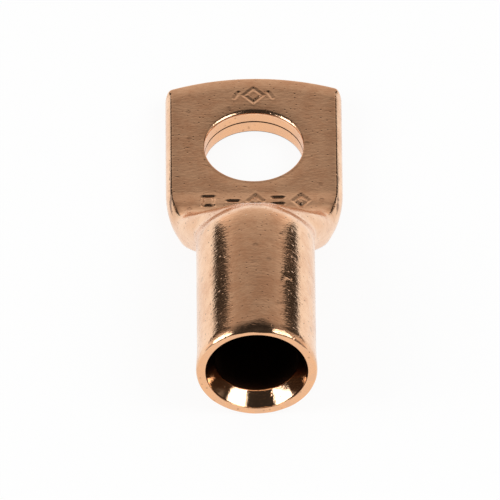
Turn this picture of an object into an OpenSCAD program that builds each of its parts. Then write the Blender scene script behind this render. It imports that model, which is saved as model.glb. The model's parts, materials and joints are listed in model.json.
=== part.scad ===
// Copper cable lug, pressed from one length of tube: a round barrel for the wire at -Y,
// and the tube's other end pressed flat into a palm with a hole for a stud.
// Millimetres. The origin is on the stud hole's axis, in the plane of the palm's underside.
// The barrel's lowest line lies in that same plane, so the lug rests on both.

/* [Barrel] */
// Outer diameter of the tube
barrel_d = 10; // [9.6:0.1:10.4]
// Diameter of the bore that takes the stripped wire
bore_d = 7; // [6.6:0.1:7.4]
// Diameter of the bore's chamfered mouth
mouth_d = 8.65; // [8:0.05:8.7]
// Depth of the chamfer at the mouth
mouth_depth = 1.45; // [0.8:0.05:2]
// Radius of the barrel's outer edge at the mouth
lip_r = 0.4; // [0.2:0.05:0.4]
// Length of tube that stays round, from the mouth
round_len = 13; // [12:0.25:13]

/* [Palm] */
// Width of the palm
palm_w = 15; // [14.4:0.1:15.6]
// Thickness of the palm, two pressed walls together
palm_t = 2.4; // [2.2:0.1:2.6]
// Diameter of the stud hole
stud_d = 8.4; // [6.4:0.1:8.6]
// Distance from the barrel's mouth to the stud hole's axis
hole_to_mouth = 29.9; // [29.9:0.1:31]
// Distance from the stud hole's axis to the palm's far edge
hole_to_end = 8.5; // [8:0.1:10]
// Radius of the palm's bowed far edge, seen from above
end_bow_r = 20; // [17:1:40]
// Radius of the far edge's two corners, seen from above
end_corner_r = 0.8; // [0.4:0.1:1.2]
// How far before the far edge the top starts to dip, dragged down by the shears
end_dip = 1; // [0.5:0.1:1.2]
// Radius of that dip
end_dip_r = 2.6; // [2.4:0.1:3.5]
// Radius rolled over the top of the stud hole by its punch
punch_roll_r = 0.35; // [0.2:0.05:0.45]
// How far the palm's root rises towards the shoulder
root_rise = 0.12; // [0.05:0.01:0.2]

/* [Pressed transition] */
// Radius over which the top of the barrel bends down into the shoulder
shoulder_r = 5.6; // [5:0.1:5.6]
// Slope of the shoulder, in degrees
shoulder_slope = 54; // [54:1:58]
// Radius at the foot of the shoulder, where it meets the palm
foot_r = 2.7; // [2.2:0.1:2.7]
// How far the shoulder's sides sag below a round arch, as a share of its height
shoulder_sag = 0.7; // [0.5:0.05:0.75]
// Distance from the mouth at which the sides start to spread
spread_from = 16.6; // [16.4:0.1:17]
// Distance from the mouth at which the palm has its full width
spread_to = 25.2; // [24.9:0.1:25.2]

/* [Pressed walls] */
// Small radius along the palm's folded edges, where the press has squared the tube
fold_corner_r = 0.3; // [0.2:0.05:0.4]
// Depth of the seam between the two pressed walls, seen in the hole and along the far edge
seam_depth = 0.15; // [0.1:0.01:0.2]
// Width of that seam at the surface
seam_w = 0.1; // [0.06:0.01:0.14]

/* [Hidden] */
$fn = 96;
copper = [0.78, 0.5, 0.34];

barrel_r = barrel_d / 2;
bore_r = bore_d / 2;
stud_r = stud_d / 2;
wall = barrel_r - bore_r;
palm_wall = palm_t / 2;
palm_hw = palm_w / 2;
end_y = hole_to_mouth + hole_to_end;
bow_y = end_y - end_bow_r;

over = 1;           // how far a cutter runs past a face
crossing = 0.02;    // how much larger a rolled edge's circle is, so that it crosses both faces
dip_crossing = 0.004; // the same for the far edge's arcs, which are cut shallower
end_corner_z = 0.15; // radius of the far edge's small upper corner
step = 0.01;        // how far the pressed shape's first ring stands inside the round barrel
lap = 0.05;         // how far that ring lies back inside the barrel
quarter_steps = 14; // facets in each quarter of a section
first_turn = 0.6;   // degrees at which a quarter starts, so that no two points of a section meet
spread_power = 2;   // how early the sides reach their width
spread_ease = 0.12; // share of the spread over which it starts
sag_over = [14.5, 18.4];      // the shoulder's sides sag between these two stations
top_flat_over = [18.5, 23.5]; // the top turns from round to flat between these two
under_flat_over = [17.4, 20.4]; // and the underside between these
sink_over = [16, 22];         // the widest line sinks to the palm's middle between these
root_len = 1.7;     // length of the palm's rising root
cavity_gap = 0.3;   // height at which the tube's hollow counts as closed
corner_turn = 47;   // degrees that the fold's small corner turns before its flank begins

// The flank's radius makes corner and flank together half as high as the palm is thick.
flank_r = (palm_wall - fold_corner_r * (1 - cos(corner_turn))) / cos(corner_turn);
fold_w = fold_corner_r * sin(corner_turn) + flank_r * (1 - sin(corner_turn));

function mix(a, b, t) = a + (b - a) * t;
function share(v, from, to) = min(1, max(0, (v - from) / (to - from)));
function smooth(t) = t * t * (3 - 2 * t);
function over_range(v, range) = smooth(share(v, range[0], range[1]));
function ease_in(t, e) = t < e ? t * t / (2 * e) : t - e / 2;
function arc(centre, r, from, to, steps) =
    [for (i = [0 : steps]) let (a = mix(from, to, i / steps)) centre + r * [cos(a), sin(a)]];

// Side view of the top: round barrel, shoulder arc, straight slope, foot arc, palm.
root_z = palm_t + root_rise;
shoulder_y = round_len + shoulder_r * sin(shoulder_slope);
shoulder_z = barrel_d - shoulder_r * (1 - cos(shoulder_slope));
foot_z = root_z + foot_r * (1 - cos(shoulder_slope));
foot_y = shoulder_y + (shoulder_z - foot_z) / tan(shoulder_slope);
root_y = foot_y + foot_r * sin(shoulder_slope);
function crown(y) =
    y <= round_len ? barrel_d :
    y <= shoulder_y ? barrel_d - shoulder_r * (1 - cos(lean(y))) :
    y <= foot_y ? shoulder_z - (y - shoulder_y) * tan(shoulder_slope) :
    y <= root_y ? root_z + foot_r * (1 - cos(lean(y))) :
    root_z - root_rise * smooth(share(y, root_y, root_y + root_len));
// Degrees by which the crown leans down at a station.
function lean(y) =
    y <= round_len ? 0 :
    y <= shoulder_y ? asin((y - round_len) / shoulder_r) :
    y <= foot_y ? shoulder_slope :
    y <= root_y ? asin((root_y - y) / foot_r) : 0;

// Half width, height of the widest line, flatness and wall thickness at a station.
function half_width(y) =
    let (t = ease_in(share(y, spread_from, spread_to), spread_ease) / (1 - spread_ease / 2))
    mix(barrel_r, palm_hw, 1 - pow(1 - t, spread_power));
function widest_z(y) =
    min(mix(barrel_r, palm_wall, over_range(y, sink_over)), crown(y) - palm_wall);
function wall_at(y) = mix(wall, palm_wall, over_range(y, under_flat_over));

// A folded edge of the palm, from its flat (turn 0) to its widest point (turn 90): [out, up].
function fold(turn) = turn < corner_turn ?
    [fold_corner_r * sin(turn), palm_wall - fold_corner_r * (1 - cos(turn))] :
    [fold_w - flank_r * (1 - sin(turn)), flank_r * cos(turn)];
// A quarter of a section: part ellipse, which may sag, and part folded edge beyond a flat.
function quarter(hw, h, flat_part, sag) = [for (i = [0 : quarter_steps])
    let (turn = mix(first_turn, 90, i / quarter_steps),
         edge = fold(turn))
    [hw - mix(hw, fold_w, flat_part) + mix(hw * sin(turn), edge[0], flat_part),
     h * mix(cos(turn) * (1 - sag * pow(sin(turn), 2)), edge[1] / palm_wall, flat_part)]];
// A closed section from a floor to a top, widest at mid, clockwise seen from the mouth.
function section(hw, floor_z, mid_z, top_z, top_flat = 1, under_flat = 1, sag = 0) =
    let (up = quarter(hw, top_z - mid_z, top_flat, sag),
         down = quarter(hw, mid_z - floor_z, under_flat, 0),
         back = [quarter_steps - 1 : -1 : 0])
    concat([for (p = up) [p[0], mid_z + p[1]]], [for (i = back) [down[i][0], mid_z - down[i][1]]],
           [for (p = down) [-p[0], mid_z - p[1]]], [for (i = back) [-up[i][0], mid_z + up[i][1]]]);
function section_at(y, hw, floor_z, mid_z, top_z) =
    section(hw, floor_z, mid_z, top_z, over_range(y, top_flat_over),
            over_range(y, under_flat_over), shoulder_sag * over_range(y, sag_over));
function outer_section(y) = let (inset = y <= round_len ? step : 0)
    section_at(y, half_width(y) - inset, inset, widest_z(y), crown(y) - inset);
function hollow_top(y) = crown(y) - wall_at(y) / cos(lean(y));
function inner_section(y) =
    let (inset = y <= round_len ? step : 0,
         floor_z = wall_at(y) + inset,
         top_z = hollow_top(y) - inset)
    section_at(y, half_width(y) - floor_z, floor_z, mix(floor_z, top_z, widest_z(y) / crown(y)), top_z);

// Stations along the pressed shape, closest where the section changes fastest.
stations = [round_len - lap, each [13 : 0.5 : 16.5], each [17 : 0.25 : 24], 24.5, spread_to];
hollow_stations = [for (y = stations) if (hollow_top(y) - wall_at(y) > cavity_gap) y];

// A solid through a row of sections with equal numbers of points, one at each place along Y.
module through_sections(sections, places) {
    n = len(sections[0]);
    last = len(sections) - 1;
    points = [for (k = [0 : last]) for (p = sections[k]) [p[0], places[k], p[1]]];
    sides = [for (k = [0 : last - 1]) for (i = [0 : n - 1])
        let (a = k * n + i, b = k * n + (i + 1) % n)
        each [[a, a + n, b + n], [a, b + n, b]]];
    near_cap = [for (i = [0 : n - 1]) i];
    far_cap = [for (i = [n - 1 : -1 : 0]) last * n + i];
    polyhedron(points, concat(sides, [near_cap, far_cap]));
}

// Lays a shape revolved about Z along the barrel, with its zero height at the mouth.
module along_barrel() {
    translate([0, 0, barrel_r]) rotate([-90, 0, 0]) children();
}

// What a circle leaves of the corner between a hole's wall at radius r and a top at height z.
module rolled_corner(r, z, roll) {
    difference() {
        translate([r - over, z - roll]) square([roll + over, roll + over]);
        translate([r + roll, z - roll]) circle(roll + crossing);
    }
}

// What a wide arc and then a small corner leave of the far edge's top.
module dipped_edge() {
    centre = [end_bow_r - end_dip, palm_t - end_dip_r];
    dip_angle = asin(end_dip / end_dip_r);
    edge_z = centre[1] + end_dip_r * cos(dip_angle);
    difference() {
        translate([centre[0], palm_wall + seam_w]) square([end_dip + over, palm_t]);
        translate(centre) circle(end_dip_r + dip_crossing, $fn = 4 * $fn);
    }
    corner = [end_bow_r - end_corner_z, edge_z - end_corner_z * tan(45 - dip_angle / 2)];
    difference() {
        translate([corner[0] + end_corner_z * sin(dip_angle), corner[1]])
            square([end_corner_z + over, palm_t]);
        translate(corner) circle(end_corner_z + dip_crossing);
    }
}

// A V-shaped groove into a wall at radius r, halfway up the palm.
module seam_profile(r, inwards) {
    reach = inwards ? -over : over;
    mouth = seam_w / 2 * (over + seam_depth) / seam_depth;
    polygon([[r + reach, palm_wall - mouth], [r + reach, palm_wall + mouth],
             [r + (inwards ? seam_depth : -seam_depth), palm_wall]]);
}

module barrel() {
    along_barrel() rotate_extrude() {
        square([barrel_r - lip_r, round_len]);
        translate([0, lip_r]) square([barrel_r, round_len - lip_r]);
        translate([barrel_r - lip_r, lip_r]) circle(lip_r);
    }
}

module transition() {
    through_sections([for (y = stations) outer_section(y)], stations);
}

// The palm's plan: wide of its sides, bowed and round-cornered at its far end.
module palm_plan() {
    corner_x = palm_hw - end_corner_r;
    corner_y = bow_y + sqrt(pow(end_bow_r - end_corner_r, 2) - pow(corner_x, 2));
    side_angle = 10;
    bow_angle = atan((corner_y - bow_y) / corner_x);
    half = concat(arc([corner_x, corner_y], end_corner_r, side_angle, bow_angle, 8),
                  [for (i = [1 : 12]) let (a = mix(bow_angle, 90, i / 12))
                      [end_bow_r * cos(a), bow_y + end_bow_r * sin(a)]]);
    start = half[0][1];
    polygon(concat([[-palm_hw - over, spread_to], [palm_hw + over, spread_to], [palm_hw + over, start]],
                   half, [for (i = [len(half) - 2 : -1 : 0]) [-half[i][0], half[i][1]]],
                   [[-palm_hw - over, start]]));
}

module palm() {
    intersection() {
        translate([0, end_y + over, 0]) rotate([90, 0, 0])
            linear_extrude(end_y + over - spread_to)
                polygon(section(palm_hw, 0, palm_wall, palm_t));
        translate([0, 0, -over]) linear_extrude(palm_t + 2 * over) palm_plan();
    }
}

module wire_bore() {
    along_barrel() {
        translate([0, 0, -over]) cylinder(h = round_len + over, r = bore_r);
        slope = (mouth_d / 2 - bore_r) / mouth_depth;
        translate([0, 0, -over])
            cylinder(h = mouth_depth + over, r1 = mouth_d / 2 + slope * over, r2 = bore_r);
    }
    through_sections([for (y = hollow_stations) inner_section(y)], hollow_stations);
}

module stud_hole() {
    translate([0, hole_to_mouth, 0]) {
        translate([0, 0, -over]) cylinder(h = palm_t + 2 * over, r = stud_r);
        rotate_extrude() rolled_corner(stud_r, palm_t, punch_roll_r);
        rotate_extrude() seam_profile(stud_r, true);
    }
}

module far_edge() {
    seam_angle = 2 * asin((palm_hw - palm_wall) / end_bow_r);
    dip_angle = 60;
    translate([0, bow_y, 0]) {
        rotate(90 - dip_angle / 2) rotate_extrude(angle = dip_angle) dipped_edge();
        rotate(90 - seam_angle / 2) rotate_extrude(angle = seam_angle)
            seam_profile(end_bow_r, false);
    }
}

module lug() {
    color(copper) translate([0, -hole_to_mouth, 0]) difference() {
        union() {
            barrel();
            transition();
            palm();
        }
        wire_bore();
        stud_hole();
        far_edge();
    }
}

lug();
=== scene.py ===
import json
import math
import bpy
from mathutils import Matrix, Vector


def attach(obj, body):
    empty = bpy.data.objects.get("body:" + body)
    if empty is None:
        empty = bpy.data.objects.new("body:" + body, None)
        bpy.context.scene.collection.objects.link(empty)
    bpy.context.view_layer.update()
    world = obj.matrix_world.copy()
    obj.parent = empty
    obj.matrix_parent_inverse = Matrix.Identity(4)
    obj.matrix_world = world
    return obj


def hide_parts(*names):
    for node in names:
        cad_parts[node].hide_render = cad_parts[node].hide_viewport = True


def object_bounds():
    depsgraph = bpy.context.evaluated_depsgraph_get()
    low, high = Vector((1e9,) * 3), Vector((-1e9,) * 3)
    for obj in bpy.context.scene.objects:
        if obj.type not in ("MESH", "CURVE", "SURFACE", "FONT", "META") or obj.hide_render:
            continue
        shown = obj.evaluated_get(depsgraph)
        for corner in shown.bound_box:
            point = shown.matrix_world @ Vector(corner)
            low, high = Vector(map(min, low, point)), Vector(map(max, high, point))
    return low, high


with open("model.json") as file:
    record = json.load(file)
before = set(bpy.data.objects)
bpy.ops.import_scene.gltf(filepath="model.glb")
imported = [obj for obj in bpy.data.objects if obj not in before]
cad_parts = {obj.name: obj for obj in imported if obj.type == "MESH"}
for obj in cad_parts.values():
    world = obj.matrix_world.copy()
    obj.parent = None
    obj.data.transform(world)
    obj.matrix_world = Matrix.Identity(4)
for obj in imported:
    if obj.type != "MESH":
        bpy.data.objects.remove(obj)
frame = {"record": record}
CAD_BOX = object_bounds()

from types import SimpleNamespace

import bmesh
import bpy
import numpy as np
from bpy.props import FloatProperty, FloatVectorProperty, IntProperty, PointerProperty
from mathutils import Matrix, Vector

bl_info = {
    "name": "Copper cable lug",
    "version": (1, 0, 0),
    "blender": (4, 5, 0),
    "location": "View3D > Sidebar > Cable lug",
    "description": "Builds a pressed tubular cable lug and a plain stage for it",
    "category": "Add Mesh",
}

MM = 0.001
MOUNTS = {m["name"]: m for m in frame["record"]["mounts"]}
LOW, HIGH = CAD_BOX
BARREL_D = HIGH.z - LOW.z
PALM_T = MOUNTS["palm_top"]["pos_m"][2]
BORE_R = MOUNTS["wire_bore"]["dims"]["r_mm"] * MM
STUD_R = MOUNTS["stud_hole"]["dims"]["r_mm"] * MM
FOLD_LINE = HIGH.x - 0.00043  # from the middle to the painted shade along the palm's folds
LUG_MIDDLE = Vector((0, -0.013, 0.004))
JUST_BELOW = 0.00002  # gap between the lug and the table
WELD = 2e-6           # how close two points are taken as one

# Distances from the mouth, in millimetres, between which the pressed form changes.
BARREL_END = 13.0
FOOT_FROM = 21.8
FLARE_OVER = (0.3, 2.6)         # the mouth's sideways flare dies away
DROOP_OVER = (6.0, BARREL_END)  # the barrel's top sinks
DROOP_END = 14.0                # and has levelled out
SWAY_OVER = (12.0, 23.0)        # the barrel's sideways sway dies away
SAG_OVER = (14.5, 18.4)         # the shoulder's sides sag
KNOCKS_END_OVER = (15.0, 17.0)  # the barrel's knocks die away
SINK_OVER = (16.0, 22.0)        # the widest line sinks to the palm's middle
TOP_FLAT_OVER = (16.5, 22.8)    # the top turns from round to flat
UNDER_FLAT_OVER = (17.4, 20.4)  # and the underside
SPREAD_EASE = 0.12              # share of the sides' spread that starts as a parabola

# How many rows of faces, or points, the surfaces have.
QUARTER_POINTS = 241     # from which a quarter of a section is read
FOLD_CORNER_POINTS = 6   # round a fold's small corner
FOLD_FLANK_ROWS = 6
ACROSS_TOP, ACROSS_UNDER = 112, 48
BARREL_ROWS, SHOULDER_ROWS, FOOT_ROWS = 75, 48, 28
RIM_CUT_ROWS = 8         # the lip's end, the flat face and the chamfer's edge
CHAMFER_ROWS, BORE_ROWS, HOLLOW_ROWS = 10, 10, 27
SIDE_ROWS = 57           # along each side of the palm's edge
CORNER_ROWS = 8          # round each far corner
BOW_ROWS = 140
HOLE_WALL_ROWS = 10      # from the stud hole's lower edge to its rolled top edge
HOLE_SHADED_ROWS = (0, 1, 5, 6)  # its lower corner and the seam's groove, painted dark as shade with the bore's finish
PALM_ROWS = 56           # from the stud hole to the palm's inner line
SCUFFS, SMALL_KNOCKS = 10, 60


def length(name, description, default):
    """A length property in metres."""
    return FloatProperty(name=name, description=description, default=default, min=0, max=0.1,
                         unit="LENGTH", precision=5)


def colour_property(name, description, default):
    """A colour property."""
    return FloatVectorProperty(name=name, description=description, default=default, size=3,
                               min=0, max=1, subtype="COLOR")


# ---- what a user would change


class LugSizes(bpy.types.PropertyGroup):
    """Sizes of the lug; the barrel, bore, palm and hole come from the frame."""
    round_len: length("Round length", "Tube that stays round, from the mouth", 0.013)
    mouth_r: length("Mouth radius", "Radius of the bore's chamfered mouth", 0.0043)
    mouth_depth: length("Chamfer depth", "Depth of the chamfer at the mouth", 0.00145)
    lip_len: length("Lip length", "Length of the rounded edge on top of the mouth", 0.00118)
    lip_drop: length("Lip drop", "How far that edge drops on top of the mouth", 0.00044)
    flare: length("Flare", "How far the cut has spread the mouth sideways", 0.00008)
    droop: length("Droop", "How far the press has drawn the barrel's top down at the shoulder", 0.00015)
    sway: length("Sway", "How far the press has left the barrel off the palm's middle", 0.00006)
    shoulder_r: length("Shoulder radius", "Radius over which the top bends down", 0.0056)
    shoulder_slope: FloatProperty(name="Shoulder slope", description="Slope of the shoulder",
                                  default=math.radians(54), subtype="ANGLE")
    shoulder_sag: FloatProperty(name="Shoulder sag", default=0.7, min=0, max=0.9,
                                description="How far the shoulder's sides sag below a round arch")
    foot_r: length("Foot radius", "Radius at the foot of the shoulder", 0.0027)
    root_rise: length("Root rise", "How far the palm rises towards the shoulder", 0.00012)
    spread_from: length("Spread from", "Distance from the mouth where the sides spread", 0.0166)
    spread_to: length("Spread to", "Distance from the mouth where the palm has its width", 0.0252)
    fold_corner_r: length("Fold corner", "Small radius along the folded edges", 0.0004)
    bow_r: length("Bow radius", "Radius of the bowed far edge", 0.020)
    corner_r: length("Corner radius", "Radius of the far corners", 0.0008)
    end_dip: length("Far edge dip", "How far before the far edge the top starts to dip", 0.0016)
    end_dip_r: length("Dip radius", "Radius of that dip", 0.0060)
    end_corner_r: length("Far edge corner", "Radius of the far edge's small upper corner", 0.00015)
    punch_roll_r: length("Hole roll", "Radius rolled over the hole's top edge", 0.00035)
    punch_drag: length("Hole drag", "How far the punch has dragged the top down round the hole", 0.00004)
    seam_depth: length("Seam depth", "Depth of the seam between the walls", 0.00015)
    seam_w: length("Seam width", "Width of the seam", 0.00014)
    stamp_depth: length("Stamp depth", "Depth of the punched marks", 0.00011)
    stamp_w: length("Stamp width", "Half width of a punched line", 0.00013)
    seed: IntProperty(name="Seed", description="Seed of the knocks and dents", default=7)


class LugColours(bpy.types.PropertyGroup):
    """Colours and finish of the copper and the stage."""
    copper: colour_property("Copper", "Bright copper", (0.955, 0.62, 0.40))
    tarnish: colour_property("Tarnish", "Slightly duller copper", (0.82, 0.48, 0.29))
    # the dark colour of the pits, and of the painted shade in the bore, round the dimples' rims and
    # along the folds
    soot: colour_property("Soot", "Dark metal in the bore and the pits", (0.16, 0.085, 0.05))
    roughness: FloatProperty(name="Roughness", description="Roughness of the clean metal",
                             default=0.12, min=0, max=1)
    table: colour_property("Table", "Colour of the floor", (0.93, 0.93, 0.92))


# ---- small arithmetic


def mix(a, b, t):
    """The value that is the share t of the way from a to b."""
    return a + (b - a) * t


def share(v, low, high):
    """How far v is from low to high, kept from 0 to 1."""
    return np.clip((v - low) / (high - low), 0.0, 1.0)


def smooth(t):
    """A share that starts and ends level: three times its square less twice its cube."""
    return t * t * (3 - 2 * t)


def ease_in(t, e):
    """A straight line that starts as a parabola over its first share e."""
    return np.where(t < e, t * t / (2 * e), t - e / 2)


# ---- the pressed form


def lug_values(sizes):
    """Every size in millimetres, y counted from the mouth, with what follows from them."""
    v = SimpleNamespace(**{k: getattr(sizes, k) / MM for k in type(sizes).__annotations__
                           if k not in ("shoulder_slope", "shoulder_sag", "seed")})
    v.seed, v.slope, v.sag = sizes.seed, sizes.shoulder_slope, sizes.shoulder_sag
    v.barrel_r = BARREL_D / 2 / MM
    v.bore_r = BORE_R / MM
    v.wall = v.barrel_r - v.bore_r
    v.stud_r = STUD_R / MM
    v.palm_t = PALM_T / MM
    v.palm_wall = v.palm_t / 2
    v.palm_hw = (HIGH.x - LOW.x) / 2 / MM
    v.hole_y = -LOW.y / MM
    v.end_y = (HIGH.y - LOW.y) / MM
    v.bow_y = v.end_y - v.bow_r
    # the fold's small corner turns this far; then a flank makes up half the palm's thickness
    v.corner_turn = math.radians(47)
    c = v.corner_turn
    v.flank_r = (v.palm_wall - v.fold_corner_r * (1 - math.cos(c))) / math.cos(c)
    v.fold_w = v.fold_corner_r * math.sin(c) + v.flank_r * (1 - math.sin(c))
    # the side view of the top: shoulder arc, straight slope, foot arc, root of the palm
    v.root_z = v.palm_t + v.root_rise
    v.root_len = 1.7
    v.shoulder_y = v.round_len + v.shoulder_r * math.sin(v.slope)
    v.shoulder_z = 2 * v.barrel_r - v.shoulder_r * (1 - math.cos(v.slope))
    v.foot_z = v.root_z + v.foot_r * (1 - math.cos(v.slope))
    v.foot_y = v.shoulder_y + (v.shoulder_z - v.foot_z) / math.tan(v.slope)
    v.root_y = v.foot_y + v.foot_r * math.sin(v.slope)
    # the hollow's slit ends here, and the sections end where the palm's plan takes over
    v.hollow_end = v.foot_y + 0.8
    v.palm_from = v.root_y + v.root_len + 0.03
    v.rim_from = 1.25  # where the sections end and the rim's own surface starts
    v.edge_w = 0.75  # width of the strip that goes round the palm's edge
    v.mouth_edge_r = 0.05
    v.low_lip_len, v.low_lip_drop = 0.20, 0.12  # the lip's size at the sides and below
    return v


def lean(v, y):
    """Angle by which the top leans down: 0 on the barrel, growing along the shoulder's arc,
    steady down the slope, shrinking again along the foot's arc."""
    return np.select([y <= v.round_len, y <= v.shoulder_y, y <= v.foot_y, y <= v.root_y],
                     [0.0 * y, np.arcsin(np.clip((y - v.round_len) / v.shoulder_r, 0, 1)),
                      v.slope + 0 * y, np.arcsin(np.clip((v.root_y - y) / v.foot_r, 0, 1))], 0.0)


def crown(v, y):
    """Height of the top: barrel, arc of the shoulder, straight slope, arc of the foot, palm."""
    a = lean(v, y)
    root = v.root_z - v.root_rise * smooth(share(y, v.root_y, v.root_y + v.root_len))
    return np.select([y <= v.round_len, y <= v.shoulder_y, y <= v.foot_y, y <= v.root_y],
                     [2 * v.barrel_r + 0 * y, 2 * v.barrel_r - v.shoulder_r * (1 - np.cos(a)),
                      v.shoulder_z - (y - v.shoulder_y) * math.tan(v.slope),
                      v.root_z + v.foot_r * (1 - np.cos(a))], root)


def half_width(v, y):
    """Half the width: the barrel's radius, then a parabola that flattens out to the palm's."""
    t = ease_in(share(y, v.spread_from, v.spread_to), SPREAD_EASE) / (1 - SPREAD_EASE / 2)
    return mix(v.barrel_r, v.palm_hw, 1 - (1 - t) ** 2)


def top_flatness(y):
    """0 where the top of a section is round, 1 where it is flat with folded edges: it changes
    fast at first and slowly towards the palm."""
    return 1 - (1 - share(y, *TOP_FLAT_OVER)) ** 1.5


def under_flatness(y):
    """The same for the underside, which the press flattens sooner."""
    return smooth(share(y, *UNDER_FLAT_OVER))


def widest_z(v, y):
    """Height of the widest line, sinking from the barrel's axis to the palm's middle."""
    sinking = mix(v.barrel_r, v.palm_wall, smooth(share(y, *SINK_OVER)))
    return np.minimum(sinking, crown(v, y) - v.palm_wall)


def fold(v, turn):
    """A folded edge: a small arc through the corner's turn, then a flank of larger radius."""
    small = turn < v.corner_turn
    out = np.where(small, v.fold_corner_r * np.sin(turn), v.fold_w - v.flank_r * (1 - np.sin(turn)))
    up = np.where(small, v.palm_wall - v.fold_corner_r * (1 - np.cos(turn)), v.flank_r * np.cos(turn))
    return out, up


def quarter(v, hw, h, flat, sag, at):
    """A quarter of a section from the middle of its flat to its widest point, read at given
    shares of its length: the flat, then a mixture of an ellipse, whose side may sag by the
    square of the sine, and a folded edge."""
    turn = np.linspace(0, math.pi / 2, QUARTER_POINTS)
    edge_out, edge_up = fold(v, turn)
    rows = []
    for w, height, f, s in zip(hw, h, flat, sag):
        out = w - mix(w, v.fold_w, f) + mix(w * np.sin(turn), edge_out, f)
        arch = np.cos(turn) * (1 - s * np.sin(turn) ** 2)
        up = height * mix(arch, edge_up / v.palm_wall, f)
        out = np.concatenate([[0.0], out])
        up = np.concatenate([[height], up])
        along = np.concatenate([[0.0], np.cumsum(np.hypot(np.diff(out), np.diff(up)))])
        along /= along[-1]
        rows.append((np.interp(at, along, out), np.interp(at, along, up)))
    rows = np.array(rows)
    return rows[:, 0], rows[:, 1]


def edge_shares(v):
    """Shares of a quarter's length at which points stand from the inner line to the widest
    point: few on the flat, close together round the small corner, then along the flank."""
    flat_w = v.palm_hw - v.fold_w
    corner = v.fold_corner_r * v.corner_turn
    flank = v.flank_r * (math.pi / 2 - v.corner_turn)
    total = flat_w + corner + flank
    at = np.concatenate([[v.palm_hw - v.edge_w],
                         flat_w + corner * np.linspace(0, 1, FOLD_CORNER_POINTS),
                         flat_w + corner + flank * np.linspace(0, 1, FOLD_FLANK_ROWS + 1)[1:]])
    return at / total


def ring_shares(v):
    """Shares right round a section, clockwise from the top left inner line: the top strip, the
    right edge, the underside and the left edge. Each point has its share, side and half."""
    edge = edge_shares(v)
    strip = np.linspace(-edge[0], edge[0], ACROSS_TOP + 1)
    under = np.linspace(edge[0], -edge[0], ACROSS_UNDER + 1)[1:]
    right = np.concatenate([edge[1:], edge[-2::-1]])
    upper = np.concatenate([np.ones(len(edge) - 1), np.zeros(len(edge) - 1)])
    share_at = np.concatenate([np.abs(strip), right, np.abs(under), right])
    side = np.concatenate([np.sign(strip), np.ones(len(right)), np.sign(under),
                           -np.ones(len(right))])
    top = np.concatenate([np.ones(len(strip)), upper, np.zeros(len(under)), 1 - upper])
    return share_at[:-1], side[:-1], top[:-1]


def section_rings(v, y, shares, inner=False):
    """Closed sections at stations y, as x and z arrays with one row for each station. The inner
    ones follow the bore and the narrowing hollow behind it, one wall's thickness inside."""
    at, side, top = shares
    hw, high, mid = half_width(v, y), crown(v, y), widest_z(v, y)
    low = 0 * y
    if inner:
        wall = mix(v.wall, v.palm_wall, under_flatness(y))
        inner_top = np.maximum(high - wall / np.cos(lean(v, y)), wall + 0.02)
        mid = mix(wall, inner_top, mid / high)
        hw, high, low = hw - wall, inner_top, wall
    sag = v.sag * smooth(share(y, *SAG_OVER))
    up_x, up_z = quarter(v, hw, high - mid, top_flatness(y), sag, at)
    down_x, down_z = quarter(v, hw, mid - low, under_flatness(y), 0 * y, at)
    x = np.where(top > 0.5, up_x, down_x) * side
    z = mid[:, None] + np.where(top > 0.5, up_z, -down_z)
    return x, z


# ---- knocks, dents and punched marks


def knocks(v, around, y):
    """Depth of the dents in the barrel: a sum of small tilted bell shapes, in the distance
    around the tube from its top line and the distance from the mouth. A few are placed, a
    row of scuffs runs along one side, and the small ones lie anywhere."""
    rng = np.random.default_rng(v.seed)
    # each is place around, place along, half length, half width, tilt and depth
    chosen = [(2.9, 7.0, 0.55, 0.14, -0.25, 0.05), (2.45, 6.7, 0.22, 0.10, 0.6, 0.03),
              (1.9, 3.3, 0.42, 0.16, 0.5, 0.028), (-0.15, 8.0, 0.30, 0.10, 0.1, 0.02),
              (1.3, 10.6, 0.30, 0.22, 1.3, 0.02), (-1.9, 4.2, 0.25, 0.08, 0.5, 0.02),
              (4.6, 13.8, 0.50, 0.13, 0.9, 0.03), (4.95, 12.2, 0.40, 0.12, 0.8, 0.03)]
    scuffs = [(5.6 + 0.35 * rng.standard_normal(), 2.2 + 1.05 * i, 0.16 + 0.3 * rng.random(),
               0.08 + 0.05 * rng.random(), 3 * rng.random(), 0.022 + 0.02 * rng.random())
              for i in range(SCUFFS)]
    small = [(rng.uniform(-7, 7), rng.uniform(1.5, 16), 0.10 + 0.14 * rng.random(),
              0.07 + 0.05 * rng.random(), 3 * rng.random(), 0.006 + 0.012 * rng.random())
             for _ in range(SMALL_KNOCKS)]
    depth = 0 * y
    for place, station, long, wide, tilt, deep in chosen + scuffs + small:
        du, dy = around - place, y - station
        p = (du * math.cos(tilt) + dy * math.sin(tilt)) / long
        q = (dy * math.cos(tilt) - du * math.sin(tilt)) / wide
        depth = depth + deep * np.exp(-np.minimum(p * p + q * q, 30))
    return depth


def bar_distance(x, y, cx, cy, half, tilt=0.0):
    """Distance to a straight line of a given half length."""
    u = (x - cx) * math.cos(tilt) + (y - cy) * math.sin(tilt)
    w = (y - cy) * math.cos(tilt) - (x - cx) * math.sin(tilt)
    return np.hypot(np.maximum(np.abs(u) - half, 0), w)


def square_distance(x, y, cx, cy, half_w, half_l):
    """Distance to the outline of a rectangle."""
    du, dw = np.abs(x - cx) - half_w, np.abs(y - cy) - half_l
    outside = np.hypot(np.maximum(du, 0), np.maximum(dw, 0))
    return np.abs(outside + np.minimum(np.maximum(du, dw), 0))


def diamond_distance(x, y, cx, cy, half_w, half_l):
    """Distance to the outline of a diamond."""
    reach = np.abs(x - cx) / half_w + np.abs(y - cy) / half_l - 1
    return np.abs(reach) * half_w * half_l / math.hypot(half_w, half_l)


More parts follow.
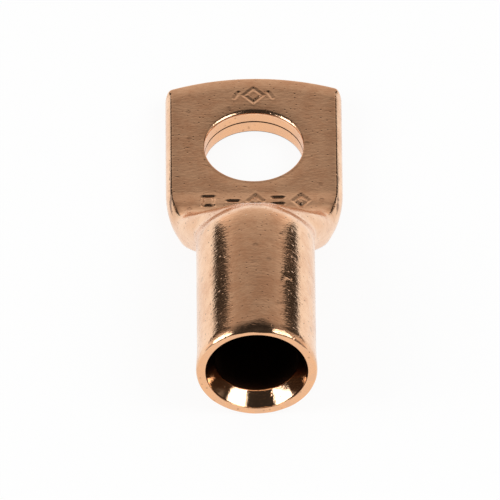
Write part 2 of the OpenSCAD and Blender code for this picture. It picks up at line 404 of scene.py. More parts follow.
def punched(v, x, y):
    """Depth of the plain punched marks on the palm: each line is a flat-bottomed groove with
    metal raised a little along both sides."""
    root, far = v.hole_y - 6.8, v.hole_y + 6.2
    lines = [square_distance(x, y, -3.9, root, 0.45, 0.6), bar_distance(x, y, -1.8, root, 0.45),
             diamond_distance(x, y, 0.1, root, 0.6, 0.72), bar_distance(x, y, 2.0, root + 0.42, 0.45),
             bar_distance(x, y, 2.0, root - 0.42, 0.45), diamond_distance(x, y, 3.95, root, 0.62, 0.72),
             diamond_distance(x, y, 0.0, far, 0.8, 0.85), bar_distance(x, y, -1.45, far, 0.4, 1.1),
             bar_distance(x, y, 1.45, far, 0.4, -1.1)]
    d = np.min(lines, axis=0) / v.stamp_w
    within = smooth(share(y, root - 1.2, root - 1.0)) * (1 - smooth(share(y, far + 1.05, far + 1.25)))
    deep = v.stamp_depth * np.where(y > v.hole_y, 0.55, 1.0)
    return within * deep * (np.exp(-np.minimum(d, 5) ** 3) - 0.16 * np.exp(-((d - 1.9) / 0.7) ** 2))


def far_dip(v, x, y):
    """How far the shears have dragged the top down towards the far edge: an arc that starts
    level at the dip's start."""
    into = np.clip(v.end_dip - (v.bow_r - np.hypot(x, y - v.bow_y)), 0, v.end_dip)
    return v.end_dip_r - np.sqrt(v.end_dip_r ** 2 - into ** 2)


def hole_drag(v, x, y):
    """How far the punch has dragged the top down round the stud hole: a parabola that ends
    level a millimetre outside the rolled edge."""
    out = share(np.hypot(x, y - v.hole_y) - v.stud_r - v.punch_roll_r, 0, 1.0)
    return v.punch_drag * (1 - out) ** 2


# ---- the lug's surfaces


def stations_of(v):
    """Places along the outside, from behind the rim to where the palm starts: closer together
    where the form turns fast, and closest under the punched marks."""
    return np.concatenate([np.linspace(v.rim_from, BARREL_END, BARREL_ROWS + 1),
                           np.linspace(BARREL_END, FOOT_FROM, SHOULDER_ROWS + 1)[1:],
                           np.linspace(FOOT_FROM, v.palm_from, FOOT_ROWS + 1)[1:]])


def drooping(y):
    """How far the barrel's top has sunk towards the shoulder, as a share: the cube of the way
    there, then a parabola with the same slope, which levels out in the first millimetre."""
    start, end = DROOP_OVER
    past = share(y, end, DROOP_END)
    return share(y, start, end) ** 3 + 3 / (end - start) * (past - past ** 2 / 2)


def outside_surface(v, ring):
    """The skin from behind the rim to the palm: sections along the lug, knocked on the barrel
    and punched at the palm's root."""
    y = stations_of(v)
    x, z = section_rings(v, y, ring)
    yy = np.repeat(y[:, None], x.shape[1], axis=1)
    z = z - v.droop * drooping(yy) * share(z, v.barrel_r, 2 * v.barrel_r)
    around = np.arctan2(x, z - v.barrel_r) * v.barrel_r
    bend = knocks(v, around, yy) * (1 - smooth(share(yy, *KNOCKS_END_OVER)))
    radius = np.hypot(x, z - v.barrel_r)
    flare = v.flare * np.abs(x / radius) ** 1.5 * (1 - smooth(share(yy, *FLARE_OVER)))
    scale = 1 + (flare - bend) / radius
    x, z = x * scale, v.barrel_r + (z - v.barrel_r) * scale
    return x, yy, z - np.where(z > v.palm_wall, punched(v, x, yy), 0)


def rim_surface(v, x, z):
    """The mouth's rim: every point of the first ring is carried over the rounded lip and the
    flat face to the chamfer's edge. The lip bends like a quarter ellipse that starts a little
    sooner, and is long on top and short below."""
    radius = np.hypot(x, z - v.barrel_r)
    ux, uz = x / radius, (z - v.barrel_r) / radius
    turn_at = np.arctan2(ux, uz)
    ragged = 1 + 0.09 * np.sin(7 * turn_at + 1) + 0.07 * np.sin(17 * turn_at)
    lip_len = mix(v.low_lip_len, v.lip_len, np.clip(uz, 0, 1) ** 1.5) * ragged
    lip_drop = mix(v.low_lip_drop, v.lip_drop, np.clip(uz, 0, 1) ** 2) * ragged
    first_y = mix(v.rim_from, lip_len, np.linspace(0, 1, 6)[:-1, None])
    spread = v.flare * np.abs(ux) ** 1.5
    here = smooth(share(v.rim_from, *FLARE_OVER))
    first_r = radius + spread * (here - smooth(share(first_y, *FLARE_OVER)))
    t = np.linspace(0, math.pi / 2, 12)[:, None]
    lip_y = lip_len * (1 - np.sin(t))
    rounding = 1 - np.sqrt(1 - np.sin(t) ** 1.5)
    lip_r = radius + spread * (here - smooth(share(lip_y, *FLARE_OVER))) - lip_drop * rounding
    mouth = v.mouth_r + v.mouth_edge_r + 0 * radius
    face_r = mix(lip_r[-1], mouth, np.linspace(0, 1, 5)[1:, None])
    t = np.linspace(0, math.pi / 2, 4)[1:, None]
    edge_r = mouth - v.mouth_edge_r * np.sin(t)
    edge_y = v.mouth_edge_r * (1 - np.cos(t)) + 0 * radius
    r = np.concatenate([first_r, lip_r, face_r, edge_r])
    y = np.concatenate([first_y, lip_y, 0 * face_r, edge_y])
    return ux * r, y, v.barrel_r + uz * r


def inside_surface(v, x, z):
    """The chamfer and the true bore, carried inwards from the rim's last ring."""
    radius = np.hypot(x, z - v.barrel_r)
    ux, uz = x / radius, (z - v.barrel_r) / radius
    t = np.concatenate([np.linspace(0, 1, CHAMFER_ROWS + 1), np.ones(BORE_ROWS)])[:, None]
    y = np.concatenate([np.linspace(v.mouth_edge_r, v.mouth_depth, CHAMFER_ROWS + 1),
                        np.linspace(v.mouth_depth, v.round_len, BORE_ROWS + 1)[1:]])
    y = y[:, None] + 0 * radius
    r = mix(radius, v.bore_r, t)
    return ux * r, y, v.barrel_r + uz * r


def hollow_surface(v, ring):
    """The pressed hollow behind the bore, section by section, down to the slit where the walls
    meet, which is closed by faces that run to its middle."""
    y = np.linspace(v.round_len, v.hollow_end, HOLLOW_ROWS + 1)
    x, z = section_rings(v, y, ring, inner=True)
    yy = np.repeat(y[:, None], x.shape[1], axis=1)
    middle = np.zeros_like(z[-1:])
    return (np.concatenate([x, middle]), np.concatenate([yy, middle + v.hollow_end + 0.1]),
            np.concatenate([z, middle + np.mean(z[-1])]))


def cut_profile(v, count):
    """The sheared far edge from the top's inner line to the underside's, as outward distance
    and height: flat, a small corner, straight down past the seam's groove, a small corner."""
    n = count // 2
    r, g = v.end_corner_r, v.seam_w / 2
    t = np.linspace(0, math.pi / 2, 5)
    flat = np.linspace(0, v.edge_w - r, n - 5)
    out = np.concatenate([flat[:-1], v.edge_w - r + r * np.sin(t), np.full(2, v.edge_w),
                          [v.edge_w - v.seam_depth, v.edge_w], np.full(n - 5, v.edge_w),
                          v.edge_w - np.array([0.02, 0.07, v.edge_w])])
    up = np.concatenate([v.palm_t + 0 * flat[:-1], v.palm_t - r * (1 - np.cos(t)),
                         [v.palm_wall + 0.5, v.palm_wall + g], [v.palm_wall, v.palm_wall - g],
                         np.linspace(v.palm_wall - 0.2, 0.09, n - 5), [0.02, 0.0, 0.0]])
    return out, up


def edge_surface(v, ring):
    """The palm's edge, carried from the right side round the far end to the left side. Along
    the sides it is the folded edge, at the far end the sheared one, and the corners blend one
    into the other."""
    count = 2 * (len(edge_shares(v)) - 1)
    corner_x = v.palm_hw - v.corner_r
    corner_y = v.bow_y + math.sqrt((v.bow_r - v.corner_r) ** 2 - corner_x ** 2)
    side_y = np.linspace(v.palm_from, corner_y, SIDE_ROWS)
    sx, sz = section_rings(v, side_y, ring)
    right = slice(ACROSS_TOP, ACROSS_TOP + count + 1)
    sx, sz = sx[:, right], sz[:, right]
    syy = np.repeat(side_y[:, None], sx.shape[1], axis=1)
    cut_out, cut_up = cut_profile(v, count)
    fold_out, fold_up = sx[-1] - (v.palm_hw - v.edge_w), sz[-1]
    turn_to = math.atan2(corner_y - v.bow_y, corner_x)
    turn = np.linspace(0, turn_to, CORNER_ROWS + 1)[1:, None]
    w = smooth(turn / turn_to)
    reach = v.corner_r - v.edge_w + mix(fold_out, cut_out, w)
    cx, cy = corner_x + reach * np.cos(turn), corner_y + reach * np.sin(turn)
    cz = mix(fold_up, cut_up, w)
    bow = np.linspace(turn_to, math.pi - turn_to, BOW_ROWS + 1)[1:-1][:, None]
    reach = v.bow_r - v.edge_w + cut_out
    bx, by, bz = reach * np.cos(bow), v.bow_y + reach * np.sin(bow), cut_up + 0 * bow
    x = np.concatenate([sx, cx, bx, -cx[::-1], -sx[::-1]])
    y = np.concatenate([syy, cy, by, cy[::-1], syy[::-1]])
    z = np.concatenate([sz, cz, bz, cz[::-1], sz[::-1]])
    return x, y, z - far_dip(v, x, y) * share(z, v.palm_wall + v.seam_w, v.palm_t)


def hole_profile(v, turn):
    """The stud hole's edge from the underside up, at every turn round its axis: a small corner,
    the wall with the seam's groove halfway, and the punch's roll-over, which is largest towards
    the palm's far edge. Given as distance from the axis and height, one column for each turn."""
    r0, g, mid = v.stud_r, v.seam_w / 2, v.palm_wall
    roll = v.punch_roll_r * mix(0.35, 1.0, smooth(share(np.sin(turn), -0.1, 0.7)))
    t = np.linspace(0, math.pi / 2, 9)[:, None]
    wall = [(r0 + 0.10, 0), (r0 + 0.03, 0.04), (r0, 0.12), (r0, 0.45), (r0, 0.9), (r0, mid - g),
            (r0 + v.seam_depth, mid), (r0, mid + g), (r0, mid + 0.3), (r0, mid + 0.6)]
    r, z = (np.array(wall)[:, k, None] + 0 * turn for k in (0, 1))
    return (np.concatenate([r, r0 + roll * (1 - np.cos(t))]),
            np.concatenate([z, v.palm_t - roll + roll * np.sin(t)]))


def palm_surface(v, loop_x, loop_y):
    """The stud hole's wall and the palm's top, carried out from the hole's axis along rays to
    the palm's inner line."""
    turn = np.arctan2(loop_y - v.hole_y, loop_x)
    r, up = hole_profile(v, turn)
    over = np.linspace(0, 1, PALM_ROWS + 1)[1:, None]
    x = np.concatenate([r * np.cos(turn), mix(r[-1] * np.cos(turn), loop_x, over)])
    y = v.hole_y + np.concatenate([r * np.sin(turn),
                                   mix(r[-1] * np.sin(turn), loop_y - v.hole_y, over)])
    z = np.concatenate([up, v.palm_t + 0 * over + 0 * turn])
    sunk = far_dip(v, x, y) + hole_drag(v, x, y) + punched(v, x, y)
    return x, y, z - sunk * share(z, v.palm_wall + v.seam_w, v.palm_t)


# ---- putting meshes together


class Sheets:
    """Collects grids of points as vertices and four-sided faces, each face with its finish."""

    def __init__(self):
        self.points, self.faces, self.finishes, self.count = [], [], [], 0

    def add(self, surface, closed, finish):
        """A grid, whose second direction closes on itself if closed. Returns its vertex numbers."""
        x, y, z = surface
        rows, cols = x.shape
        index = self.count + np.arange(rows * cols).reshape(rows, cols)
        self.points.append(np.stack([x, y, z], axis=-1).reshape(-1, 3))
        self.count += rows * cols
        near, side = (index, np.roll(index, -1, axis=1)) if closed else (index[:, :-1], index[:, 1:])
        quads = np.stack([near[:-1], near[1:], side[1:], side[:-1]], axis=-1)
        self.faces += quads.reshape(-1, 4).tolist()
        self.finishes.append((np.zeros(quads.shape[:2], int) + finish).ravel())
        return index

    def zip(self, ring, other, turn, other_turn, finish):
        """Triangles between two closed rings with different numbers of points, both given with
        their turns round a middle: at each step the ring that lags behind moves on by one."""
        a, b = np.argsort(turn), np.argsort(other_turn)
        order = np.argsort(np.concatenate([turn[a], other_turn[b]]), kind="stable")
        step = (order < len(a)).astype(int)
        i, j = np.cumsum(step), np.cumsum(1 - step)
        ring, other = ring[a], other[b]
        last = np.where(step, ring[i % len(a)], other[j % len(b)])
        tris = np.stack([ring[(i - step) % len(a)], other[(j - 1 + step) % len(b)], last], axis=-1)
        self.faces += tris.tolist()
        self.finishes.append(np.full(len(tris), finish))


def mesh_from_sheets(name, sheets, v):
    """One closed mesh in metres, its sheets welded where they meet and its faces outwards. The
    barrel sways off the palm's middle, and y starts from the stud hole's axis."""
    points = np.concatenate(sheets.points)
    points[:, 0] += v.sway * (1 - smooth(share(points[:, 1], *SWAY_OVER)))
    points[:, 1] -= v.hole_y
    mesh = bpy.data.meshes.new(name)
    mesh.from_pydata((points * MM).tolist(), [], sheets.faces)
    mesh.polygons.foreach_set("material_index", np.concatenate(sheets.finishes).astype(np.int32))
    bm = bmesh.new()
    bm.from_mesh(mesh)
    bmesh.ops.remove_doubles(bm, verts=bm.verts, dist=WELD)
    bmesh.ops.recalc_face_normals(bm, faces=bm.faces)
    gaps = sum(1 for e in bm.edges if not e.is_manifold)
    bm.to_mesh(mesh)
    bm.free()
    triangles = sum(len(p.vertices) - 2 for p in mesh.polygons)
    print(name, "triangles", triangles, "edges not closed", gaps)
    return mesh


def keep_in_box(mesh, low, high):
    """Holds every vertex inside the frame's box."""
    co = np.zeros(len(mesh.vertices) * 3, np.float32)
    mesh.vertices.foreach_get("co", co)
    co = np.clip(co.reshape(-1, 3), np.array(low, np.float32), np.array(high, np.float32))
    mesh.vertices.foreach_set("co", co.ravel())
    mesh.update()


# the third finish paints the bore, the hollow, the seam's groove and the hole's lower corner nearly
# black as shade
SKIN, CUT, BORE_SHADE, TURNED = 0, 1, 2, 3


def build_lug_mesh(sizes):
    """The whole lug as one closed mesh: skin, rim, chamfer and bore, hollow, palm's edge, stud
    hole with the palm's top, and underside."""
    v = lug_values(sizes)
    ring = ring_shares(v)
    sheets = Sheets()
    skin = outside_surface(v, ring)
    sheets.add(skin, True, SKIN)
    rim = rim_surface(v, skin[0][0], skin[2][0])
    row = np.arange(len(rim[0]) - 1)
    sheets.add(rim, True, np.where(row >= len(row) - RIM_CUT_ROWS, CUT, SKIN)[:, None])
    inside = inside_surface(v, rim[0][-1], rim[2][-1])
    row = np.arange(len(inside[0]) - 1)
    sheets.add(inside, True, np.where(row < CHAMFER_ROWS, TURNED, BORE_SHADE)[:, None])
    sheets.add(hollow_surface(v, ring), True, BORE_SHADE)
    edge = edge_surface(v, ring)
    row, column = (np.arange(count - 1) for count in edge[0].shape)
    # the sheared face reaches to the middle of both corners, below the top's small corner
    first = SIDE_ROWS + CORNER_ROWS // 2
    far = (row >= first) & (row <= row[-1] - first)
    sheared = far[:, None] & (column >= len(column) // 2 - 2)
    edge_at = sheets.add(edge, False, np.where(sheared, CUT, SKIN))
    loop_x = np.concatenate([skin[0][-1][:ACROSS_TOP], edge[0][:-1, 0]])
    loop_y = np.concatenate([np.full(ACROSS_TOP, v.palm_from), edge[1][:-1, 0]])
    palm = palm_surface(v, loop_x, loop_y)
    row = np.arange(len(palm[0]) - 1)
    wall = np.where(row < HOLE_WALL_ROWS, CUT, SKIN)
    palm_at = sheets.add(palm, True, np.where(np.isin(row, HOLE_SHADED_ROWS), BORE_SHADE, wall)[:, None])
    # the underside lies between the hole's lower edge and the lower inner line
    from_skin = ACROSS_TOP + len(column) + np.arange(1, ACROSS_UNDER)
    under_at = np.concatenate([(len(skin[0]) - 1) * len(ring[0]) + from_skin, edge_at[:, -1]])
    points = np.concatenate(sheets.points)
    outer, inner = points[under_at], points[palm_at[0]]
    sheets.zip(under_at, palm_at[0], np.arctan2(outer[:, 1] - v.hole_y, outer[:, 0]),
               np.arctan2(inner[:, 1] - v.hole_y, inner[:, 0]), SKIN)
    mesh = mesh_from_sheets("lug_detail", sheets, v)
    keep_in_box(mesh, LOW, HIGH)
    return mesh


# ---- node groups


class Nodes:
    """A short way to add nodes to a tree and join them."""

    def __init__(self, tree):
        self.tree = tree

    def add(self, kind, inputs=None, **settings):
        """A new node with its settings and its inputs, each a value or another's output."""
        node = self.tree.nodes.new(kind)
        for key, value in settings.items():
            setattr(node, key, value)
        for key, value in (inputs or {}).items():
            self.put(node.inputs[key], value)
        return node

    def put(self, target, value):
        if isinstance(value, bpy.types.NodeSocket):
            self.tree.links.new(value, target)
        else:
            target.default_value = value

    def math(self, how, a, b=0.0):
        return self.add("ShaderNodeMath", {0: a, 1: b}, operation=how).outputs[0]

    def times(self, a, b):
        return self.math("MULTIPLY", a, b)

    def plus(self, a, b):
        return self.math("ADD", a, b)

    def minus(self, a, b):
        return self.math("SUBTRACT", a, b)

    def larger(self, a, b):
        return self.math("MAXIMUM", a, b)

    def scaled(self, vector, x, y, z):
        """A place whose three parts are multiplied by x, y and z."""
        factors = self.add("ShaderNodeCombineXYZ", {0: x, 1: y, 2: z}).outputs[0]
        return self.add("ShaderNodeVectorMath", {0: vector, 1: factors}, operation="MULTIPLY").outputs[0]

    def ramp(self, value, low, high, to_low=0.0, to_high=1.0):
        """value carried smoothly from low..high to to_low..to_high, held outside."""
        node = self.add("ShaderNodeMapRange", {"Value": value, "From Min": low, "From Max": high,
                                               "To Min": to_low, "To Max": to_high},
                        interpolation_type="SMOOTHSTEP")
        return node.outputs[0]

    def blend(self, factor, a, b):
        """The colour that is the share factor of the way from a to b."""
        node = self.add("ShaderNodeMix", data_type="RGBA")
        for k, value in ((0, factor), (6, a), (7, b)):
            self.put(node.inputs[k], value)
        return node.outputs[2]

    def noise(self, vector, scale, detail, rough):
        node = self.add("ShaderNodeTexNoise", {"Vector": vector, "Scale": scale, "Detail": detail,
                                               "Roughness": rough})
        return node.outputs["Fac"]


def group(name, output, **numbers):
    """A node group that turns a place and some numbers, given with what they usually are, into
    one number: a Nodes for it, its input node and its output node."""
    tree = bpy.data.node_groups.new(name, "ShaderNodeTree")
    socket = tree.interface.new_socket
    socket(name="Vector", in_out="INPUT", socket_type="NodeSocketVector")
    for label, usual in numbers.items():
        socket(name=label, in_out="INPUT", socket_type="NodeSocketFloat").default_value = usual
    socket(name=output, in_out="OUTPUT", socket_type="NodeSocketFloat")
    return Nodes(tree), tree.nodes.new("NodeGroupInput"), tree.nodes.new("NodeGroupOutput")


def drawn_lines_group():
    """Fine streaks left by drawing and polishing: noise squeezed along the lug's length, so that
    it varies quickly along Y and slowly across, in two sizes."""
    n, start, end = group("drawn lines", "Height", Spacing=5000.0, Streak=0.06)
    streak = start.outputs["Streak"]
    vector = n.scaled(start.outputs["Vector"], streak, 1.0, streak)
    coarse = n.noise(vector, start.outputs["Spacing"], 2.0, 0.6)
    fine = n.noise(vector, n.times(start.outputs["Spacing"], 2.9), 1.0, 0.5)
    total = n.plus(n.times(coarse, 0.75), n.times(fine, 0.25))
    n.put(end.inputs["Height"], total)
    return n.tree


def pits_group():
    """Small scattered pits and nicks: round or drawn-out spots in a few of many cells."""
    n, start, end = group("pits", "Mask", Scale=2200.0, Share=0.2, Size=0.3, Stretch=1.0, Turn=0.0)
    place, turn = start.outputs["Vector"], start.outputs["Turn"]
    turned = n.add("ShaderNodeVectorRotate", {"Vector": place, "Angle": turn}, rotation_type="Z_AXIS")
    shorter = n.math("DIVIDE", 1.0, start.outputs["Stretch"])
    vector = n.scaled(turned.outputs[0], shorter, 1.0, 1.0)
    cells = n.add("ShaderNodeTexVoronoi", {"Vector": vector, "Scale": start.outputs["Scale"]})
    spot = n.ramp(cells.outputs["Distance"], 0.0, start.outputs["Size"], 1.0, 0.0)
    picked = n.add("ShaderNodeSeparateColor", {0: cells.outputs["Color"]}).outputs[0]
    chosen = n.math("LESS_THAN", picked, start.outputs["Share"])
    n.put(end.inputs["Mask"], n.times(spot, chosen))
    return n.tree


def tarnish_group():
    """Cloudy patches where the metal has dulled: slow noise with a finer one over it."""
    n, start, end = group("tarnish", "Mask", Scale=220.0, Amount=0.5)
    place, scale = start.outputs["Vector"], start.outputs["Scale"]
    slow = n.noise(place, scale, 4.0, 0.6)
    fast = n.noise(place, n.times(scale, 6.0), 3.0, 0.6)
    total = n.plus(n.times(slow, 0.7), n.times(fast, 0.3))
    n.put(end.inputs["Mask"], n.times(n.ramp(total, 0.38, 0.66), start.outputs["Amount"]))
    return n.tree


GROUPS = {}


def grouped(n, name, **inputs):
    """Places one of the shared groups in a material and returns its first output."""
    node = n.add("ShaderNodeGroup")
    node.node_tree = GROUPS[name]
    for key, value in inputs.items():
        n.put(node.inputs[key], value)
    return node.outputs[0]


def new_material(name):
    """A new empty material's Nodes, and the place of each point on the piece, in metres."""
    material = bpy.data.materials.new(name)
    material.use_nodes = True
    material.node_tree.nodes.clear()
    n = Nodes(material.node_tree)
    return n, n.add("ShaderNodeTexCoord").outputs["Object"]


def finish_metal(n, colour, roughness, height, distance):
    """The metal's own shader, fed by a changing colour, roughness and bump height."""
    bump = n.add("ShaderNodeBump", {"Height": height, "Distance": distance, "Strength": 1.0})
    shader = n.add("ShaderNodeBsdfPrincipled", {"Base Color": colour, "Metallic": 1.0,
                                                "Roughness": roughness, "Normal": bump.outputs[0]})
    n.add("ShaderNodeOutputMaterial", {"Surface": shader.outputs[0]})


def fold_grime(n, place):
    """Painted shade along the palm's two folds: an uneven dark line on the top, a little inside each
    edge, strongest at the transition, standing in for the dark reflection at the folds' corners, with a
    faint painted shade on its inner side."""
    x, y, z = n.add("ShaderNodeSeparateXYZ", {0: place}).outputs
    inside = n.minus(FOLD_LINE, n.math("ABSOLUTE", x))
    uneven = n.times(n.ramp(n.noise(place, 900.0, 3.0, 0.7), 0.35, 0.65), 0.00013)
    line = n.ramp(n.minus(n.math("ABSOLUTE", inside), uneven), 0.0, 0.00005, 1.0, 0.0)
    line = n.times(line, n.ramp(y, -0.007, 0.001, 0.78, 0.18))
    shade = n.times(n.ramp(inside, 0.0, 0.0014, 0.13, 0.0), n.ramp(inside, -0.0001, 0.0))
    along = n.times(n.ramp(y, -0.0095, -0.0085), n.ramp(y, 0.006, 0.0075, 1.0, 0.0))
    # the painted shade: the dark line and the faint shade beside it, only along the transition
    fold_shade = n.times(n.larger(line, shade), along)
    return n.times(fold_shade, n.ramp(z, 0.0018, 0.0020))


def polished_copper(c):
    """Bright drawn copper: fine streaks round the lug, cloudy dulling, nicks, pits and dimples,
    with painted shade round the dimples' rims and a painted dark line of shade along the folds."""
    n, place = new_material("polished_copper")
    tarnish = grouped(n, "tarnish", Vector=place, Scale=480.0, Amount=1.0)
    lines = grouped(n, "drawn lines", Vector=place, Spacing=4200.0, Streak=0.42)
    pits = grouped(n, "pits", Vector=place, Scale=2300.0, Share=0.55, Size=0.28)
    dimples = grouped(n, "pits", Vector=place, Scale=900.0, Share=0.13, Size=0.30)
    # painted shade: a dark ring round the rim of each dimple
    rings = n.times(dimples, n.minus(1.0, dimples))
    nicks = grouped(n, "pits", Vector=place, Scale=1600.0, Share=0.16, Size=0.20, Stretch=3.0,
                    Turn=0.2)
    marks = n.larger(pits, nicks)
    colour = n.blend(tarnish, (*c.copper, 1.0), (*c.tarnish, 1.0))
    # the pits and nicks are dark stains; the dimples' rims and the folds get painted shade
    stains_and_shade = n.larger(n.times(marks, 0.45), n.times(rings, 1.2))
    # painted shade along the folds
    stains_and_shade = n.larger(stains_and_shade, fold_grime(n, place))
    colour = n.blend(stains_and_shade, colour, (*c.soot, 1.0))
    rough = n.plus(n.times(tarnish, 0.08), c.roughness)
    dents = n.plus(n.times(marks, 1.6), n.times(dimples, 1.2))
    height = n.minus(n.times(lines, 2.1), dents)
    finish_metal(n, colour, rough, height, 0.000011)


def cut_copper(c):
    """Sawn and sheared faces: fresher, redder metal with short cutting marks."""
    n, place = new_material("cut_copper")
    tarnish = grouped(n, "tarnish", Vector=place, Scale=900.0, Amount=0.8)
    lines = grouped(n, "drawn lines", Vector=place, Spacing=2400.0, Streak=0.5)
    pits = grouped(n, "pits", Vector=place, Scale=1900.0, Share=0.40, Size=0.3)
    bright = tuple(a * b for a, b in zip(c.copper, (0.94, 0.80, 0.68)))
    colour = n.blend(tarnish, (*bright, 1.0), (*c.tarnish, 1.0))
    colour = n.blend(n.times(pits, 0.5), colour, (*c.soot, 1.0))
    rough = n.plus(n.times(tarnish, 0.10), 0.24)
    height = n.minus(n.times(lines, 2.0), n.times(pits, 2.0))
    finish_metal(n, colour, rough, height, 0.00001)


def turned_copper(c):
    """The chamfer: smooth turned metal with a few chatter marks."""
    n, place = new_material("turned_copper")
    tarnish = grouped(n, "tarnish", Vector=place, Scale=800.0, Amount=0.5)
    pits = grouped(n, "pits", Vector=place, Scale=2600.0, Share=0.3, Size=0.34)
    colour = n.blend(n.times(tarnish, 0.5), (*c.copper, 1.0), (*c.tarnish, 1.0))
    rough = n.plus(n.times(tarnish, 0.06), 0.08)
    finish_metal(n, colour, rough, n.minus(tarnish, pits), 0.00001)


def painted_bore_shade(c):
    """The inside of the tube and of the seam: the same metal, dull, its colour painted nearly black as
    shade.
    """
    n, place = new_material("painted_bore_shade")
    tarnish = grouped(n, "tarnish", Vector=place, Scale=320.0, Amount=1.0)
    lines = grouped(n, "drawn lines", Vector=place, Spacing=1800.0, Streak=0.3)
    deeper_shade = tuple(a * 0.6 for a in c.soot)
    # painted shade: the bore's copper is coloured nearly black
    colour = n.blend(tarnish, (*c.soot, 1.0), (*deeper_shade, 1.0))
    rough = n.plus(n.times(tarnish, 0.12), 0.30)
    finish_metal(n, colour, rough, lines, 0.000006)


FINISHES = (polished_copper, cut_copper, painted_bore_shade, turned_copper)  # in the order SKIN to TURNED


# ---- the stage


def plain_floor(c):
    """A wide white table. The camera and the metal see it as plain white; it still takes the
    lug's soft shadow."""
    bpy.ops.mesh.primitive_plane_add(size=8.0, location=(0, 0, -JUST_BELOW))
    floor = bpy.context.object
    floor.name = "table"
    floor.data.transform(Matrix.Translation(floor.location))
    floor.location = (0, 0, 0)
    material = bpy.data.materials.new("white_table")
    material.use_nodes = True
    material.node_tree.nodes.clear()
    n = Nodes(material.node_tree)
    path = n.add("ShaderNodeLightPath")
    seen = n.larger(path.outputs["Is Camera Ray"],
                    n.larger(path.outputs["Is Glossy Ray"], path.outputs["Is Transmission Ray"]))
    paper = n.add("ShaderNodeBsdfDiffuse", {"Color": (*c.table, 1.0)})
    white = n.add("ShaderNodeEmission", {"Color": (1, 1, 1, 1), "Strength": 1.0})
    shader = n.add("ShaderNodeMixShader", {0: n.times(seen, 0.90), 1: paper.outputs[0],
                                           2: white.outputs[0]})
    n.add("ShaderNodeOutputMaterial", {"Surface": shader.outputs[0]})
    floor.data.materials.append(material)


def soft_lamp(name, azimuth, elevation, strength, spread, distance=0.6):
    """A round soft lamp aimed at the lug. Azimuth 0 is the mouth's side, 90 is +X; the spread is
    half the angle that the lamp fills; all in degrees."""
    a, e = math.radians(azimuth), math.radians(elevation)
    towards = Vector((math.sin(a) * math.cos(e), -math.cos(a) * math.cos(e), math.sin(e)))
    radius = distance * math.tan(math.radians(spread))
    data = bpy.data.lights.new(name, "AREA")
    data.shape = "DISK"
    data.size = 2 * radius
    data.energy = strength * math.pi * math.pi * radius ** 2
    lamp = bpy.data.objects.new(name, data)
    lamp.location = LUG_MIDDLE + towards * distance
    lamp.rotation_mode = "QUATERNION"
    lamp.rotation_quaternion = towards.to_track_quat("Z", "Y")
    lamp.visible_camera = False
    bpy.context.collection.objects.link(lamp)


def room_light():
    """The room round the lug: white to the camera, plain grey for soft light, and for the metal
    a pale wall behind the palm that darkens upwards, with dark sides and a dark ceiling."""
    world = bpy.data.worlds.new("room")
    bpy.context.scene.world = world
    world.use_nodes = True
    world.node_tree.nodes.clear()
    n = Nodes(world.node_tree)
    way = n.add("ShaderNodeTexCoord").outputs["Generated"]
    across, away, height = n.add("ShaderNodeSeparateXYZ", {0: way}).outputs
    wall = n.add("ShaderNodeValToRGB", {0: height})
    # the direction's height, the wall's level there and how warm it is
    stops = [(0.0, 0.78, 0.9), (0.20, 0.66, 1.0), (0.38, 0.575, 1.0), (0.52, 0.52, 1.0),
             (0.652, 0.43, 1.0), (0.703, 0.335, 1.0), (0.80, 0.26, 1.0), (0.885, 0.07, 0.7),
             (0.95, 0.02, 0.7)]
    ramp = wall.color_ramp
    while len(ramp.elements) < len(stops):
        ramp.elements.new(0.5)
    for element, (at, level, warm) in zip(ramp.elements, stops):
        element.position = at
        element.color = (level, level * (1 - 0.155 * warm), level * (1 - 0.265 * warm), 1)
    aside = n.math("ABSOLUTE", across)
    # to the left and right the wall is brighter low down and darker high up
    tilt = n.times(n.ramp(aside, 0.10, 0.45), n.ramp(height, 0.05, 0.55, 0.35, -0.16))
    wall = n.add("ShaderNodeVectorMath", {0: wall.outputs[0], 3: n.plus(tilt, 1.0)},
                 operation="SCALE").outputs[0]
    # the sides are dark down to the floor, and the front is a little lighter low down
    dark = (0.03, 0.026, 0.023, 1)
    low_side, low_front = (0.040, 0.033, 0.027, 1), (0.32, 0.28, 0.25, 1)
    side = n.times(n.ramp(aside, 0.54, 0.60), n.ramp(away, 0.40, 0.55))
    front = n.ramp(away, -0.05, 0.15, 1.0, 0.0)
    seen = n.blend(side, wall, n.blend(n.ramp(height, 0.1, 0.8), low_side, dark))
    seen = n.blend(front, seen, n.blend(n.ramp(height, 0.10, 0.40), low_front, dark))
    path = n.add("ShaderNodeLightPath")
    metal = n.larger(path.outputs["Is Glossy Ray"], path.outputs["Is Transmission Ray"])
    light = n.blend(metal, (0.55, 0.55, 0.55, 1), seen)
    colour = n.blend(path.outputs["Is Camera Ray"], light, (1, 1, 1, 1))
    back = n.add("ShaderNodeBackground", {"Color": colour, "Strength": 1.0})
    n.add("ShaderNodeOutputWorld", {"Surface": back.outputs[0]})


def place_camera():
    """A long lens looking down at the lug from the mouth's side, leaning a little."""
    down, roll = math.radians(44.35), math.radians(0.55)
    distance, width, sensor = 1.6, 0.0422, 36.0
    across = Vector((1, 0, 0))
    upwards = Vector((0, math.sin(down), math.cos(down)))
    right = across * math.cos(roll) - upwards * math.sin(roll)
    up = across * math.sin(roll) + upwards * math.cos(roll)
    back = right.cross(up)
    aim = Vector((-0.00041, -0.01265, PALM_T))
    data = bpy.data.cameras.new("camera")
    data.sensor_width = sensor
    data.lens = sensor * distance / width
    data.clip_start, data.clip_end = 0.1, 20.0
    camera = bpy.data.objects.new("camera", data)
    camera.matrix_world = Matrix((right, up, back)).transposed().to_4x4()
    camera.location = aim + back * distance
    bpy.context.collection.objects.link(camera)
    bpy.context.scene.camera = camera


# ---- operators and panel


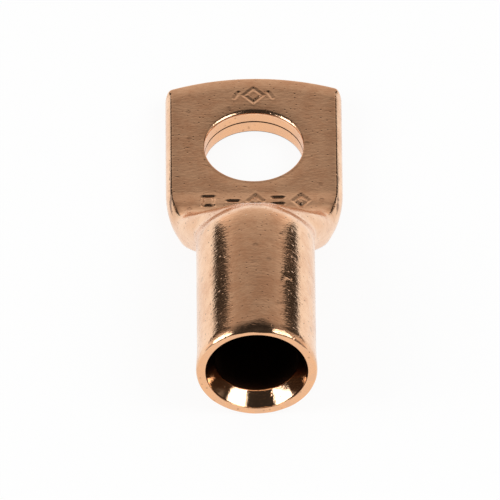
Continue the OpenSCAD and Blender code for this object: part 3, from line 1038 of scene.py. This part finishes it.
class LUG_OT_finishes(bpy.types.Operator):
    """Builds the shared node groups and the four finishes of the copper"""
    bl_idname = "lug.finishes"
    bl_label = "Copper finishes"

    def execute(self, context):
        GROUPS.update({"drawn lines": drawn_lines_group(), "pits": pits_group(),
                       "tarnish": tarnish_group()})
        for make in FINISHES:
            make(context.scene.lug_colours)
        return {"FINISHED"}


class LUG_OT_lug(bpy.types.Operator):
    """Builds the whole lug: barrel, mouth, pressed transition, palm, stud hole and seam"""
    bl_idname = "lug.lug"
    bl_label = "Cable lug"

    def execute(self, context):
        mesh = build_lug_mesh(context.scene.lug_sizes)
        mesh.polygons.foreach_set("use_smooth", np.ones(len(mesh.polygons), bool))
        mesh.set_sharp_from_angle(angle=math.radians(38))
        for make in FINISHES:
            mesh.materials.append(bpy.data.materials[make.__name__])
        lug = bpy.data.objects.new("lug_detail", mesh)
        context.collection.objects.link(lug)
        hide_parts("lug")
        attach(lug, "root")
        return {"FINISHED"}


class LUG_OT_stage(bpy.types.Operator):
    """Builds the white table, two soft lamps, the room and the camera"""
    bl_idname = "lug.stage"
    bl_label = "Plain stage"

    def execute(self, context):
        plain_floor(context.scene.lug_colours)
        soft_lamp("right lamp", azimuth=74, elevation=47, strength=3.2, spread=19)
        soft_lamp("left lamp", azimuth=-80, elevation=34, strength=3.2, spread=19)
        room_light()
        place_camera()
        context.scene.view_settings.view_transform = "Standard"
        return {"FINISHED"}


STEPS = (LUG_OT_finishes, LUG_OT_lug, LUG_OT_stage)


class LUG_PT_panel(bpy.types.Panel):
    """Lists the sizes, the colours and the steps"""
    bl_label = "Cable lug"
    bl_idname = "LUG_PT_panel"
    bl_space_type = "VIEW_3D"
    bl_region_type = "UI"
    bl_category = "Cable lug"

    def draw(self, context):
        for settings in (context.scene.lug_sizes, context.scene.lug_colours):
            for name in type(settings).__annotations__:
                self.layout.prop(settings, name)
        for step in STEPS:
            self.layout.operator(step.bl_idname)


CLASSES = (LugSizes, LugColours, *STEPS, LUG_PT_panel)


def register():
    for cls in CLASSES:
        bpy.utils.register_class(cls)
    bpy.types.Scene.lug_sizes = PointerProperty(type=LugSizes)
    bpy.types.Scene.lug_colours = PointerProperty(type=LugColours)


def unregister():
    del bpy.types.Scene.lug_sizes, bpy.types.Scene.lug_colours
    for cls in reversed(CLASSES):
        bpy.utils.unregister_class(cls)


def main():
    """Runs the steps through their operators."""
    register()
    for step in STEPS:
        area, name = step.bl_idname.split(".")
        getattr(getattr(bpy.ops, area), name)()


if __name__ == "__main__":
    main()
